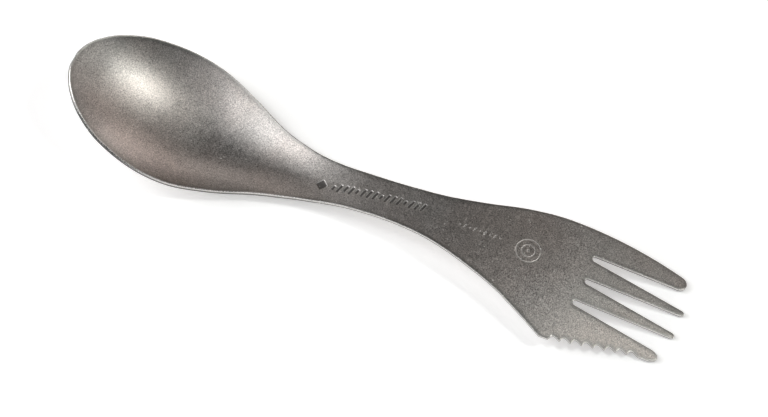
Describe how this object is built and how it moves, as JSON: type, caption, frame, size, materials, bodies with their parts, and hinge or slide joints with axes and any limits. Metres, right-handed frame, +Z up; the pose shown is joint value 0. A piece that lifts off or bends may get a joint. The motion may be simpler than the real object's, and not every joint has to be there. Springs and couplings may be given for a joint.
{
  "type": "spork",
  "caption": "One-piece metal camping spork with a spoon bowl, a trough-stiffened neck, a flat arched handle and a tined fork with a serrated cutting edge.",
  "frame": {"origin": "centre of the bounding box, on the table plane that the spork rests on", "axes": "+X from the spoon tip to the tine tips, +Y towards the smooth outer tine, away from the serrated one, +Z up"},
  "size_m": [0.1699, 0.0386, 0.0196],
  "materials": {
    "titanium": "bead-blasted matte grey titanium, warm tint, deburred edges"
  },
  "bodies": {
    "root": {"spoon_bowl": "titanium", "neck": "titanium", "handle": "titanium", "fork_palm": "titanium", "tine_1": "titanium", "tine_2": "titanium", "tine_3": "titanium", "knife_tine": "titanium"}
  },
  "joints": []
}
